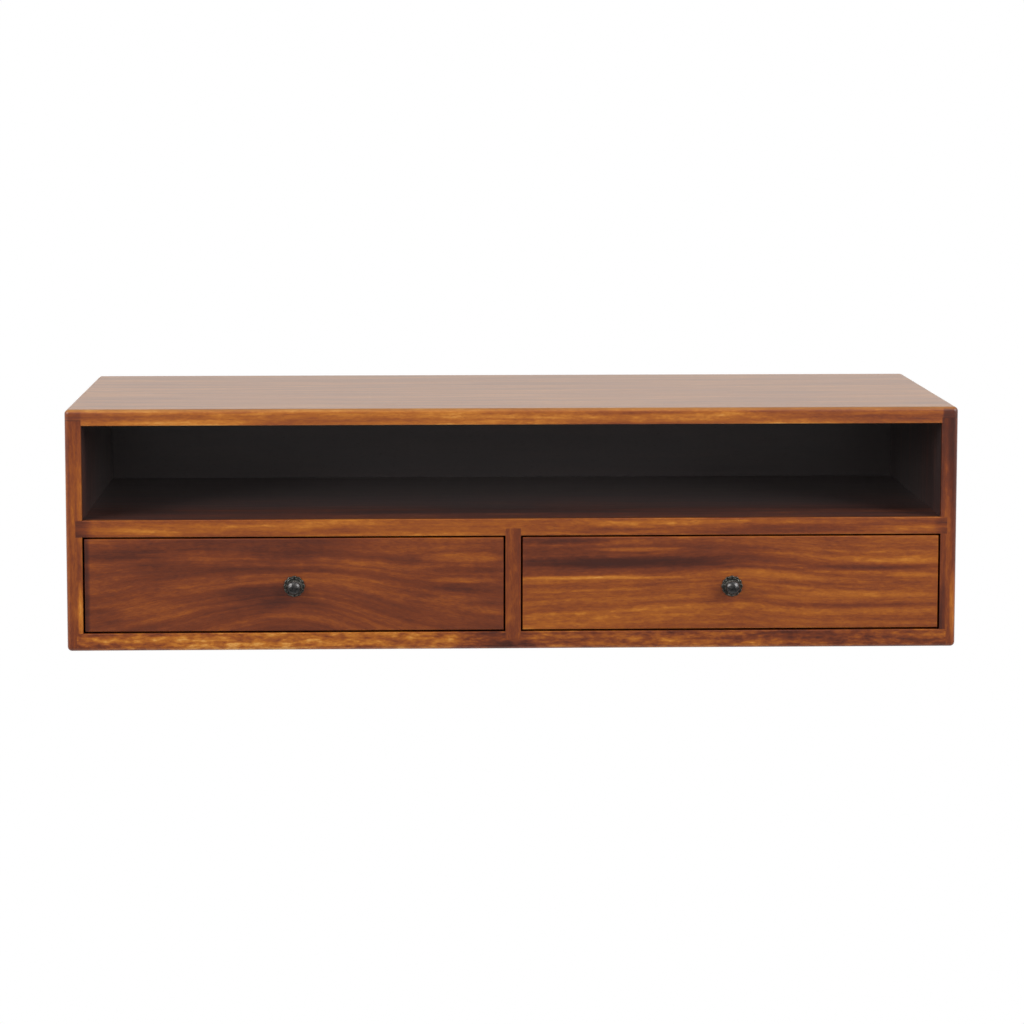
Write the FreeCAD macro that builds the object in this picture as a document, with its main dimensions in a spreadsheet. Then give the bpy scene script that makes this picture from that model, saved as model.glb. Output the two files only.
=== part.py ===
import FreeCAD, Part
import math
import os
import re
import Sketcher

# A wall-hung media console in solid wood: a case with an open slot over two drawers.
#
# Frame: X to the right, Y from the front to the wall, Z up. The origin lies on the wall plane,
# midway between the two keyholes that the console hangs on. Lengths are in millimetres.
#
# A drawer's pieces are modelled about the middle of the lower edge of its front face, and a
# knob's pieces about the point where its axis meets the drawer front. Both are then placed.

SIGNS = {"left": -1, "right": 1}
TAILS = 3
ROSETTE_SCALLOPS = 12
RUNNER_SCREWS = 3
TOLERANCE = 1e-4
START, END, CENTRE = range(1, 4)  # a sketch's numbers for the places on a line or an arc

DRIVING = {
    # case
    "console_width": 1100,
    "console_height": 300,
    "console_depth": 400,
    "top_thickness": 20,
    "side_thickness": 20,
    "shelf_thickness": 21,
    "bottom_thickness": 22,
    "divider_thickness": 19,
    "slot_height": 117,
    "top_rebate_depth": 7,
    "housing_depth": 8,
    "divider_housing_depth": 9,
    "outer_round": 5.5,
    "inner_round": 1,
    # back and rails
    "back_thickness": 6,
    "back_inset": 22,
    "back_groove_depth": 6,
    "back_groove_clearance": 0.5,
    "hanging_rail_height": 60,
    "lower_rail_height": 45,
    # keyhole plates
    "hanger_margin": 150,
    "hanger_drop": 55,
    "hanger_width": 70,
    "hanger_height": 30,
    "hanger_thickness": 2,
    "hanger_corner_radius": 4,
    "hanger_screw_reach": 27,
    "keyhole_entry_radius": 5,
    "keyhole_slot_width": 5.5,
    "keyhole_rise": 10,
    "head_pocket_radius": 7,
    "head_pocket_depth": 10,
    # drawer fronts and boxes
    "drawer_gap": 2.2,
    "drawer_setback": 1,
    "drawer_rear_clearance": 6,
    "drawer_front_thickness": 20,
    "drawer_front_round": 1.5,
    "drawer_side_thickness": 12,
    "drawer_side_rise": 8,
    "drawer_side_headroom": 10,
    "drawer_back_thickness": 12,
    "drawer_back_inset": 8,
    "drawer_back_housing": 3,
    "ply_thickness": 5,
    "ply_groove_clearance": 0.2,
    "ply_groove_depth": 6,
    "ply_groove_rise": 9,
    "ply_side_clearance": 0.5,
    "ply_rear_inset": 2,
    "tail_gap": 10,
    "tail_length": 14,
    "tail_slope": 8,
    # runners
    "runner_height": 16,
    "runner_drop": 40,
    "runner_groove_depth": 6,
    "runner_groove_stop": 45,
    "runner_side_clearance": 0.5,
    "runner_slide_clearance": 0.3,
    "runner_stop_clearance": 0.5,
    "runner_rear_gap": 5,
    "runner_chamfer": 2,
    "runner_screw_margin": 40,
    # knobs
    "left_knob_drop": 2,
    "left_knob_shift": -0.4,
    "right_knob_drop": 4.5,
    "right_knob_shift": 1.6,
    "rosette_radius": 13.4,
    "rosette_rim_height": 2,
    "rosette_boss_radius": 5.5,
    "rosette_boss_height": 4,
    "rosette_scallop_radius": 1.8,
    "rosette_scallop_depth": 0.9,
    "knob_height": 16.5,
    "knob_radius": 8.3,
    "knob_dome_height": 3.6,
    "knob_edge_height": 2,
    "knob_neck_radius": 3.8,
    "knob_foot_radius": 5,
    "knob_flare_height": 4,
    # fasteners
    "fastener_clearance": 0.05,
    "hanger_screw_radius": 2,
    "hanger_screw_head_radius": 4,
    "hanger_screw_head_height": 1.9,
    "hanger_screw_length": 16,
    "runner_screw_radius": 1.75,
    "runner_screw_head_radius": 3.5,
    "runner_screw_head_height": 1.75,
    "runner_screw_length": 16,
    "pin_radius": 0.8,
    "pin_head_radius": 1.3,
    "pin_head_height": 0.9,
    "pin_length": 17,
    "knob_screw_radius": 2,
    "knob_screw_grip": 11,
    "knob_screw_head_radius": 3.6,
    "knob_screw_head_height": 2.4,
    "knob_washer_radius": 5,
    "knob_washer_thickness": 1,
}

DERIVED = {
    # heights in the case
    "case_top": "hanger_drop",
    "case_bottom": "case_top - console_height",
    "slot_ceiling": "case_top - top_thickness",
    "slot_floor": "slot_ceiling - slot_height",
    "bay_ceiling": "slot_floor - shelf_thickness",
    "bay_floor": "case_bottom + bottom_thickness",
    "side_end": "slot_ceiling + top_rebate_depth",
    # places across and along the case
    "case_front": "-console_depth",
    "outer_half": "console_width / 2",
    "inner_half": "outer_half - side_thickness",
    "tongue_half": "inner_half + housing_depth",
    "divider_half": "divider_thickness / 2",
    "back_rear": "-back_inset",
    "back_front": "back_rear - back_thickness",
    # keyhole plates
    "hanger_reach": "outer_half - hanger_margin",
    "plate_middle": "keyhole_rise / 2",
    "plate_bottom": "plate_middle - hanger_height / 2",
    "plate_top": "plate_middle + hanger_height / 2",
    # drawers
    "bay_middle": "(inner_half + divider_half) / 2",
    "drawer_half": "(inner_half - divider_half) / 2 - drawer_gap",
    "drawer_base": "bay_floor + drawer_gap",
    "drawer_face": "case_front + drawer_setback",
    "drawer_length": "back_front - drawer_rear_clearance - drawer_face",
    "drawer_front_height": "bay_ceiling - bay_floor - 2 * drawer_gap",
    "drawer_inner_half": "drawer_half - drawer_side_thickness",
    "drawer_side_top": "drawer_front_height - drawer_side_headroom",
    "drawer_back_rear": "drawer_length - drawer_back_inset",
    "drawer_back_front": "drawer_back_rear - drawer_back_thickness",
    "tail_pitch": f"(drawer_side_top - drawer_side_rise) / {TAILS}",
    "tail_width": "tail_pitch - tail_gap",
    "tail_neck_width": "tail_width - 2 * tail_length * tan(tail_slope)",
    "tail_tip": "drawer_front_thickness - tail_length",
    "ply_bottom": "drawer_side_rise + ply_groove_rise",
    "ply_top": "ply_bottom + ply_thickness",
    "ply_groove_top": "ply_top + ply_groove_clearance",
    "ply_groove_front": "drawer_front_thickness - ply_groove_depth",
    # runners
    "runner_thickness": "drawer_gap + runner_groove_depth - runner_side_clearance",
    "runner_front": "drawer_face + runner_groove_stop + runner_stop_clearance",
    "runner_rear": "back_front - runner_rear_gap",
    "runner_rise": "drawer_side_top - runner_drop",
    "runner_bottom": "drawer_base + runner_rise - runner_height / 2",
    "runner_top": "runner_bottom + runner_height",
    # knobs
    "left_knob_height": "drawer_front_height / 2 - left_knob_drop",
    "right_knob_height": "drawer_front_height / 2 - right_knob_drop",
    "knob_edge_top": "knob_height - knob_dome_height",
    "knob_edge_bottom": "knob_edge_top - knob_edge_height",
    "knob_dome_radius": "(knob_radius ^ 2 + knob_dome_height ^ 2) / (2 * knob_dome_height)",
    "knob_screw_seat": "drawer_front_thickness + knob_washer_thickness",
}

document = FreeCAD.newDocument("floating_media_console")
sheet = document.addObject("Spreadsheet::Sheet", "Sizes")
for row, (size_name, size) in enumerate(DRIVING.items(), start=1):
    sheet.set(f"A{row}", size_name)
    sheet.set(f"B{row}", str(size))
    sheet.setAlias(f"B{row}", size_name)
document.recompute()

nodes = {}


# ------------------------------------------------------------------ expressions


def tied(text):
    """The expression with each size in it turned into its cell, and each derived size worked out."""

    def reference(match):
        word = match.group()
        if word in DERIVED:
            return "(" + tied(DERIVED[word]) + ")"
        return "Sizes." + word if word in DRIVING else word

    return re.sub(r"[a-z]\w*", reference, str(text))


def number(text):
    """The value of an expression at the sizes in the sheet."""
    return float(sheet.evalExpression(tied(text)))


def point(x, y, z):
    return FreeCAD.Vector(number(x), number(y), number(z))


def flat_point(x, y):
    return point(x, y, "0")


# ------------------------------------------------------------------ features


def new_body(label):
    body = document.addObject("PartDesign::Body", label)
    body.Label = label
    return body


def origin_feature(body, role):
    return next(o for o in body.Origin.OriginFeatures if o.Role == role)


def new_sketch(body, name, plane, level):
    """An empty sketch on an origin plane, moved along that plane's axis to level."""
    sketch = body.newObject("Sketcher::SketchObject", name)
    sketch.AttachmentSupport = (origin_feature(body, plane), [""])
    sketch.MapMode = "FlatFace"
    sign = "-1" if plane == "XZ_Plane" else "1"
    sketch.setExpression("AttachmentOffset.Base.z", tied(f"{sign} * ({level})"))
    return sketch


def constrain(sketch, kind, places, expression, name):
    """A dimension of the sketch, bound to an expression."""
    index = sketch.addConstraint(Sketcher.Constraint(kind, *places, number(expression)))
    sketch.renameConstraint(index, name)
    sketch.setExpression("Constraints." + name, tied(expression))


def outline(body, name, plane, points, arcs=None, level="0"):
    """A closed, fully constrained sketch through points, given as pairs of expressions.

    arcs maps the number of the point that an arc starts at to its centre and its turn,
    which is 1 where the arc runs anticlockwise and -1 where it runs clockwise.
    """
    arcs = arcs or {}
    sketch = new_sketch(body, name, plane, level)
    corners = [flat_point(x, y) for x, y in points]
    first_vertex, last_vertex = [], []
    for index, start in enumerate(corners):
        end = corners[(index + 1) % len(corners)]
        centre, turn = arcs.get(index, (None, 0))
        if turn:
            sketch.addGeometry(arc_between(start, end, flat_point(*centre), turn))
        else:
            sketch.addGeometry(Part.LineSegment(start, end))
        first_vertex.append(END if turn < 0 else START)
        last_vertex.append(START if turn < 0 else END)
    for index in range(len(corners)):
        following = (index + 1) % len(corners)
        joined = (index, last_vertex[index], following, first_vertex[following])
        sketch.addConstraint(Sketcher.Constraint("Coincident", *joined))
    for index, (x, y) in enumerate(points):
        vertex = (-1, 1, index, first_vertex[index])
        constrain(sketch, "DistanceX", vertex, x, f"x{index}")
        constrain(sketch, "DistanceY", vertex, y, f"y{index}")
    for index, (centre, _) in arcs.items():
        # the arc's two ends already hold its centre along the chord
        chord = corners[(index + 1) % len(corners)] - corners[index]
        kind, place_across = ("DistanceX", centre[0])
        if abs(chord.x) > abs(chord.y):
            kind, place_across = ("DistanceY", centre[1])
        constrain(sketch, kind, (-1, 1, index, CENTRE), place_across, f"centre{index}")
    return sketch


def arc_between(start, end, centre, turn):
    """The arc about centre from start to end."""
    if turn < 0:
        start, end = end, start
    angles = [math.atan2(corner.y - centre.y, corner.x - centre.x) for corner in (start, end)]
    circle = Part.Circle(centre, FreeCAD.Vector(0, 0, 1), (start - centre).Length)
    return Part.ArcOfCircle(circle, *angles)


def circles(body, name, plane, centres, radius, level="0"):
    """A fully constrained sketch of equal circles."""
    sketch = new_sketch(body, name, plane, level)
    for index, (x, y) in enumerate(centres):
        circle = Part.Circle(flat_point(x, y), FreeCAD.Vector(0, 0, 1), number(radius))
        sketch.addGeometry(circle)
        constrain(sketch, "DistanceX", (-1, 1, index, CENTRE), x, f"x{index}")
        constrain(sketch, "DistanceY", (-1, 1, index, CENTRE), y, f"y{index}")
        constrain(sketch, "Radius", (index,), radius, f"radius{index}")
    return sketch


def extrude(body, kind, sketch, name, length, towards):
    """A Pad or a Pocket of a sketch, towards the plus or minus end of the sketch plane's axis."""
    volume_before = body.Shape.Volume if body.Tip else 0
    feature = body.newObject("PartDesign::" + kind, name)
    feature.Profile = sketch
    feature.setExpression("Length", tied(length))
    support = sketch.AttachmentSupport[0][0]
    pad_direction = -1 if support.Role == "XZ_Plane" else 1
    usual_direction = pad_direction if kind == "Pad" else -pad_direction
    feature.Reversed = towards != usual_direction
    document.recompute()
    if kind == "Pocket" and body.Shape.Volume > volume_before - TOLERANCE:
        raise ValueError(f"{body.Label}: {name} cuts nothing")
    return feature


def block(body, name, x, y, z, kind="Pad"):
    """A rectangular block between two places on each axis, added or cut away."""
    corners = [(x[0], y[0]), (x[1], y[0]), (x[1], y[1]), (x[0], y[1])]
    sketch = outline(body, name + "_outline", "XY_Plane", corners, level=z[0])
    return extrude(body, kind, sketch, name, f"({z[1]}) - ({z[0]})", 1)


def cut(body, name, x, y, z):
    return block(body, name, x, y, z, kind="Pocket")


def round_over(body, name, plane, corner, inward, span, radius):
    """Take a square arris down to a quarter round, over a span along the plane's axis.

    corner is where the arris crosses the plane, and inward gives the sign of the way into the
    wood along each of the plane's two axes.
    """
    (u, v), (u_sign, v_sign) = corner, inward
    inner_u, inner_v = f"{u} + {u_sign} * {radius}", f"{v} + {v_sign} * {radius}"
    arcs = {1: ((inner_u, inner_v), -u_sign * v_sign)}
    points = [corner, (inner_u, v), (u, inner_v)]
    sketch = outline(body, name + "_outline", plane, points, arcs, span[0])
    return extrude(body, "Pocket", sketch, name, f"({span[1]}) - ({span[0]})", 1)


def edges_through(shape, points):
    """The names of the shape's edges that pass through these points."""
    names = []
    for place in points:
        vertex = Part.Vertex(place)
        near = [i for i, edge in enumerate(shape.Edges, 1) if edge.distToShape(vertex)[0] < TOLERANCE]
        if len(near) != 1:
            raise ValueError(f"{len(near)} edges pass through {place}")
        names.append(f"Edge{near[0]}")
    return names


def dress(body, kind, name, points, size_property, size):
    """A Fillet or a Chamfer on the edges through these points."""
    base = body.Tip
    names = edges_through(base.Shape, points)
    feature = body.newObject("PartDesign::" + kind, name)
    feature.Base = (base, names)
    feature.setExpression(size_property, tied(size))
    document.recompute()
    return feature


def fillet(body, name, points, radius):
    return dress(body, "Fillet", name, points, "Radius", radius)


def chamfer(body, name, points, size):
    return dress(body, "Chamfer", name, points, "Size", size)


def revolve(body, name, points, arcs=None):
    """A solid of revolution about the body's Z axis, from an outline of radius and height."""
    sketch = outline(body, name + "_outline", "XZ_Plane", points, arcs)
    feature = body.newObject("PartDesign::Revolution", name)
    feature.Profile = sketch
    feature.ReferenceAxis = (origin_feature(body, "Z_Axis"), [""])
    feature.Angle = 360
    document.recompute()
    return feature


def place(item, x="0", y="0", z="0"):
    """Tie the item's place to expressions, leaving its rotation as it is."""
    for axis, expression in zip("xyz", (x, y, z)):
        item.setExpression("Placement.Base." + axis, tied(expression))
    return item


def turned_to(direction):
    """The rotation that carries the Z axis to a direction."""
    return FreeCAD.Rotation(FreeCAD.Vector(0, 0, 1), FreeCAD.Vector(*direction))


def cylinder(name, radius, length, base, direction):
    solid = document.addObject("Part::Cylinder", name)
    solid.setExpression("Radius", tied(radius))
    solid.setExpression("Height", tied(length))
    solid.Placement.Rotation = turned_to(direction)
    return place(solid, *base)


def cone(name, radius, end_radius, length, base, direction):
    solid = document.addObject("Part::Cone", name)
    solid.setExpression("Radius1", tied(radius))
    solid.setExpression("Radius2", tied(end_radius))
    solid.setExpression("Height", tied(length))
    solid.Placement.Rotation = turned_to(direction)
    return place(solid, *base)


def fused(label, solids):
    group = document.addObject("Part::MultiFuse", label)
    group.Label = label
    group.Shapes = solids
    return group


def fasteners(label, kind, places, clearance="0"):
    """Countersunk screws or pins of one kind, each driven from a point in a direction."""
    radius = f"{kind}_radius + {clearance}"
    head_radius = f"{kind}_head_radius + {clearance}"
    solids = []
    for index, (base, direction) in enumerate(places, 1):
        name = f"{label}_{index}"
        head_height, length = f"{kind}_head_height", f"{kind}_length + {clearance}"
        solids.append(cone(name + "_head", head_radius, radius, head_height, base, direction))
        solids.append(cylinder(name + "_shank", radius, length, base, direction))
    return fused(label, solids)


def bored(body, label, kind, places):
    """The body with a hole for each of these fasteners, under the body's own label."""
    body.Label = label + "_blank"
    tool = fasteners(label + "_bores", kind, places, "fastener_clearance")
    return subtract(label, body, tool)


def subtract(label, base, tool):
    result = document.addObject("Part::Cut", label)
    result.Label = label
    result.Base = base
    result.Tool = tool
    document.recompute()
    if result.Shape.Volume > base.Shape.Volume - TOLERANCE:
        raise ValueError(f"{label}: nothing is cut from it")
    return result


def keep(item):
    """List the item as a sub-part, under its label."""
    nodes[item.Label] = item
    return item


# ------------------------------------------------------------------ fastener places


def runner_screw_places(drawer, side):
    """Where the screws enter one runner's inner face, each driven into the wood behind it."""
    face, sign = bay_face(drawer, side)
    x = f"{face} + {-sign} * runner_thickness"
    first, last = "runner_front + runner_screw_margin", "runner_rear - runner_screw_margin"
    middle_height = "runner_bottom + runner_height / 2"
    steps = RUNNER_SCREWS - 1
    return [
        ((x, f"{first} + {index} * ({last} - ({first})) / {steps}", middle_height), (sign, 0, 0))
        for index in range(RUNNER_SCREWS)
    ]


def bay_face(drawer, side):
    """The upright face beside a drawer bay, and the sign of the way into its wood."""
    sign = SIGNS[side]
    half = "inner_half" if side == drawer else "divider_half"
    return f"{SIGNS[drawer]} * {half}", sign


def hanger_screw_places(side):
    """Where the screws enter a keyhole plate, each driven forwards into the rail."""
    middle = f"{SIGNS[side]} * hanger_reach"
    return [
        ((f"{middle} + {sign} * hanger_screw_reach", "0", "plate_middle"), (0, -1, 0))
        for sign in SIGNS.values()
    ]


def back_pin_places(board):
    """Where the pins enter the back panel, each driven forwards into a board's rear edge."""
    if board == "middle_shelf":
        height = "slot_floor - shelf_thickness / 2"
        shares = (-0.85, -0.5, -0.15, 0.15, 0.5, 0.85)
        return [((f"{share} * inner_half", "back_rear", height), (0, -1, 0)) for share in shares]
    height = "bay_floor + (bay_ceiling - bay_floor) * {}"
    return [(("0", "back_rear", height.format(share)), (0, -1, 0)) for share in (0.5, 0.8)]


def ply_pin_places():
    """Where the pins enter a drawer bottom, each driven up into the drawer back."""
    y = "drawer_back_rear - drawer_back_thickness / 2"
    return [((f"{share} * drawer_inner_half", y, "ply_bottom"), (0, 0, 1)) for share in (-0.8, 0, 0.8)]


# ------------------------------------------------------------------ case


def top_panel():
    body = new_body("top_panel")
    depth = ("case_front", "0")
    block(body, "board", ("-outer_half", "outer_half"), depth, ("slot_ceiling", "case_top"))
    for side, sign in SIGNS.items():
        ends = (f"{sign} * inner_half", f"{sign} * outer_half")
        cut(body, side + "_rebate", ends, depth, ("slot_ceiling", "side_end"))
    groove_height = ("slot_ceiling", "slot_ceiling + back_groove_depth")
    groove_depth = ("back_front", "back_rear")
    cut(body, "back_groove", ("-inner_half", "inner_half"), groove_depth, groove_height)
    span = ("-inner_half", "inner_half")
    front_arris = ("case_front", "slot_ceiling")
    round_over(body, "slot_arris", "YZ_Plane", front_arris, (1, 1), span, "inner_round")
    lip = "(side_end + case_top) / 2"
    rounded = [point("0", y, "case_top") for y in depth]
    rounded += [point(x, "case_front / 2", "case_top") for x in ("-outer_half", "outer_half")]
    rounded += [point(x, y, lip) for x in ("-outer_half", "outer_half") for y in depth]
    fillet(body, "outer_rounds", rounded, "outer_round")
    return keep(body)


def side_panel(side):
    sign = SIGNS[side]
    label = side + "_side_panel"
    body = new_body(label)
    inner, outer = f"{sign} * inner_half", f"{sign} * outer_half"
    tongue = (inner, f"{sign} * tongue_half")
    groove = (inner, f"{sign} * (inner_half + back_groove_depth)")
    rail_depth = ("back_rear", "0")
    hanging_rail = ("slot_ceiling - hanging_rail_height", "slot_ceiling")
    lower_rail = ("bay_floor", "bay_floor + lower_rail_height")
    block(body, "board", (inner, outer), ("case_front", "0"), ("case_bottom", "side_end"))
    cut(body, "bottom_rebate", tongue, ("case_front", "0"), ("case_bottom", "bay_floor"))
    cut(body, "shelf_housing", tongue, ("case_front", "back_front"), ("bay_ceiling", "slot_floor"))
    cut(body, "back_groove", groove, ("back_front", "back_rear"), ("bay_floor", "side_end"))
    cut(body, "hanging_rail_housing", tongue, rail_depth, hanging_rail)
    cut(body, "lower_rail_housing", tongue, rail_depth, lower_rail)
    front_arris = (inner, "case_front")
    for name, span in {
        "slot_arris": ("slot_floor", "slot_ceiling"),
        "bay_arris": ("bay_floor", "bay_ceiling"),
    }.items():
        round_over(body, name, "XY_Plane", front_arris, (sign, 1), span, "inner_round")
    foot = f"{sign} * (tongue_half + outer_half) / 2"
    rounded = [point(outer, y, "slot_floor") for y in ("case_front", "0")]
    rounded += [point(foot, y, "case_bottom") for y in ("case_front", "0")]
    rounded.append(point(outer, "case_front / 2", "case_bottom"))
    fillet(body, "outer_rounds", rounded, "outer_round")
    return keep(bored(body, label, "runner_screw", runner_screw_places(side, side)))


def middle_shelf():
    body = new_body("middle_shelf")
    depth = ("case_front", "back_front")
    housing = ("bay_ceiling", "bay_ceiling + divider_housing_depth")
    block(body, "board", ("-tongue_half", "tongue_half"), depth, ("bay_ceiling", "slot_floor"))
    cut(body, "divider_housing", ("-divider_half", "divider_half"), depth, housing)
    slot_arris, span = ("case_front", "slot_floor"), ("-inner_half", "inner_half")
    round_over(body, "slot_arris", "YZ_Plane", slot_arris, (1, -1), span, "inner_round")
    for side, span in bay_spans().items():
        arris = ("case_front", "bay_ceiling")
        round_over(body, side + "_bay_arris", "YZ_Plane", arris, (1, 1), span, "inner_round")
    return keep(bored(body, "middle_shelf", "pin", back_pin_places("middle_shelf")))


def bottom_panel():
    body = new_body("bottom_panel")
    width = ("-tongue_half", "tongue_half")
    housing = ("bay_floor - divider_housing_depth", "bay_floor")
    groove = ("bay_floor - back_groove_depth", "bay_floor")
    block(body, "board", width, ("case_front", "0"), ("case_bottom", "bay_floor"))
    divider = ("-divider_half", "divider_half")
    cut(body, "divider_housing", divider, ("case_front", "back_front"), housing)
    cut(body, "back_groove", width, ("back_front", "back_rear"), groove)
    for side, span in bay_spans().items():
        arris = ("case_front", "bay_floor")
        round_over(body, side + "_bay_arris", "YZ_Plane", arris, (1, -1), span, "inner_round")
    rounded = [point("0", y, "case_bottom") for y in ("case_front", "0")]
    fillet(body, "outer_rounds", rounded, "outer_round")
    return keep(body)


def bay_spans():
    """Each drawer bay's width, from the lower to the higher x."""
    return {"left": ("-inner_half", "-divider_half"), "right": ("divider_half", "inner_half")}


def centre_divider():
    body = new_body("centre_divider")
    foot, head = "bay_floor - divider_housing_depth", "bay_ceiling + divider_housing_depth"
    width = ("-divider_half", "divider_half")
    block(body, "board", width, ("case_front", "back_front"), (foot, head))
    span = ("bay_floor", "bay_ceiling")
    for side, sign in SIGNS.items():
        arris = (f"{sign} * divider_half", "case_front")
        round_over(body, side + "_arris", "XY_Plane", arris, (-sign, 1), span, "inner_round")
    screws = runner_screw_places("left", "right") + runner_screw_places("right", "left")
    screwed = bored(body, "divider_with_screw_bores", "runner_screw", screws)
    return keep(bored(screwed, "centre_divider", "pin", back_pin_places("centre_divider")))


def back_panel():
    body = new_body("back_panel")
    reach = "back_groove_depth - back_groove_clearance"
    width = (f"-(inner_half + {reach})", f"inner_half + {reach}")
    height = (f"bay_floor - ({reach})", f"slot_ceiling + {reach}")
    block(body, "sheet", width, ("back_front", "back_rear"), height)
    pins = back_pin_places("middle_shelf") + back_pin_places("centre_divider")
    return keep(bored(body, "back_panel", "pin", pins))


def hanging_rail():
    body = new_body("hanging_rail")
    bottom = "slot_ceiling - hanging_rail_height"
    width = ("-tongue_half", "tongue_half")
    block(body, "board", width, ("back_rear", "0"), (bottom, "slot_ceiling"))
    span = ("-inner_half", "inner_half")
    round_over(body, "rear_arris", "YZ_Plane", ("0", bottom), (-1, 1), span, "inner_round")
    screws = []
    for side, sign in SIGNS.items():
        middle = f"{sign} * hanger_reach"
        left, right = f"{middle} - hanger_width / 2", f"{middle} + hanger_width / 2"
        recess_height = ("plate_bottom", "plate_top")
        cut(body, side + "_plate_recess", (left, right), ("-hanger_thickness", "0"), recess_height)
        inner_corners = [
            point(x, "-hanger_thickness / 2", z) for x in (left, right) for z in recess_height
        ]
        fillet(body, side + "_recess_corners", inner_corners, "hanger_corner_radius")
        sketch = keyhole_outline(body, side + "_head_pocket_outline", middle, "head_pocket_radius")
        depth = "hanger_thickness + head_pocket_depth"
        extrude(body, "Pocket", sketch, side + "_head_pocket", depth, -1)
        screws += hanger_screw_places(side)
    return keep(bored(body, "hanging_rail", "hanger_screw", screws))


def keyhole_outline(body, name, middle, radius):
    """A slot with round ends, from the keyhole's entry up to its seat."""
    left, right = f"{middle} - {radius}", f"{middle} + {radius}"
    points = [(left, "0"), (right, "0"), (right, "keyhole_rise"), (left, "keyhole_rise")]
    arcs = {0: ((middle, "0"), 1), 2: ((middle, "keyhole_rise"), 1)}
    return outline(body, name, "XZ_Plane", points, arcs)


def lower_rail():
    body = new_body("lower_rail")
    top = "bay_floor + lower_rail_height"
    block(body, "board", ("-tongue_half", "tongue_half"), ("back_rear", "0"), ("bay_floor", top))
    span = ("-inner_half", "inner_half")
    round_over(body, "rear_arris", "YZ_Plane", ("0", top), (-1, -1), span, "inner_round")
    return keep(body)


def hanger_plate(side):
    label = side + "_hanger_plate"
    body = new_body(label)
    middle = f"{SIGNS[side]} * hanger_reach"
    left, right = f"{middle} - hanger_width / 2", f"{middle} + hanger_width / 2"
    height = ("plate_bottom", "plate_top")
    block(body, "plate", (left, right), ("-hanger_thickness", "0"), height)
    corners = [point(x, "-hanger_thickness / 2", z) for x in (left, right) for z in height]
    fillet(body, "corners", corners, "hanger_corner_radius")
    slot = keyhole_outline(body, "slot_outline", middle, "keyhole_slot_width / 2")
    extrude(body, "Pocket", slot, "slot", "hanger_thickness", -1)
    entry = circles(body, "entry_outline", "XZ_Plane", [(middle, "0")], "keyhole_entry_radius")
    extrude(body, "Pocket", entry, "entry", "hanger_thickness", -1)
    return keep(bored(body, label, "hanger_screw", hanger_screw_places(side)))


def runner(drawer, side):
    label = f"{drawer}_drawer_{side}_runner"
    body = new_body(label)
    face, sign = bay_face(drawer, side)
    inner = f"{face} + {-sign} * runner_thickness"
    height = ("runner_bottom", "runner_top")
    block(body, "strip", (face, inner), ("runner_front", "runner_rear"), height)
    nose = [point(f"({face} + {inner}) / 2", "runner_front", z) for z in height]
    nose.append(point(inner, "runner_front", "(runner_bottom + runner_top) / 2"))
    chamfer(body, "lead_in", nose, "runner_chamfer")
    return keep(bored(body, label, "runner_screw", runner_screw_places(drawer, side)))


def case():
    top_panel()
    bottom_panel()
    middle_shelf()
    centre_divider()
    back_panel()
    hanging_rail()
    lower_rail()
    runner_screws, hanger_screws = [], []
    for side in SIGNS:
        side_panel(side)
        hanger_plate(side)
        hanger_screws += hanger_screw_places(side)
        for drawer in SIGNS:
            runner(drawer, side)
            runner_screws += runner_screw_places(drawer, side)
    keep(fasteners("hanger_screws", "hanger_screw", hanger_screws))
    keep(fasteners("runner_screws", "runner_screw", runner_screws))
    back_pins = back_pin_places("middle_shelf") + back_pin_places("centre_divider")
    keep(fasteners("back_panel_pins", "pin", back_pins))


# ------------------------------------------------------------------ drawers


def tail_corners(index):
    """One dovetail's four corners, as depth and height, from its upper neck round to its lower."""
    middle = f"drawer_side_rise + {index + 0.5} * tail_pitch"
    neck, tip = "drawer_front_thickness", "tail_tip"
    return [
        (neck, f"{middle} + tail_neck_width / 2"),
        (tip, f"{middle} + tail_width / 2"),
        (tip, f"{middle} - tail_width / 2"),
        (neck, f"{middle} - tail_neck_width / 2"),
    ]


def knob_centre(drawer):
    """Where the knob's axis meets the drawer front, each knob being set by hand."""
    return f"{drawer}_knob_shift", f"{drawer}_knob_height"


def drawer_front(drawer):
    label = drawer + "_drawer_front"
    body = new_body(label)
    thickness = ("0", "drawer_front_thickness")
    height = ("0", "drawer_front_height")
    block(body, "board", ("-drawer_half", "drawer_half"), thickness, height)
    for side, sign in SIGNS.items():
        for index in range(TAILS):
            name = f"{side}_socket_{index + 1}"
            end = f"{sign} * drawer_half"
            sketch = outline(body, name + "_outline", "YZ_Plane", tail_corners(index), level=end)
            extrude(body, "Pocket", sketch, name, "drawer_side_thickness", -sign)
    inner = ("-drawer_inner_half", "drawer_inner_half")
    groove = ("ply_groove_front", "drawer_front_thickness")
    cut(body, "ply_groove", inner, groove, ("ply_bottom", "ply_groove_top"))
    rounded = [point("0", "0", z) for z in height]
    rounded += [point(x, "0", "drawer_front_height / 2") for x in ("-drawer_half", "drawer_half")]
    fillet(body, "face_rounds", rounded, "drawer_front_round")
    radius = "knob_screw_radius + fastener_clearance"
    centre = knob_centre(drawer)
    bore = circles(body, "knob_bore_outline", "XZ_Plane", [centre], radius)
    extrude(body, "Pocket", bore, "knob_bore", "drawer_front_thickness", 1)
    return body


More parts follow.
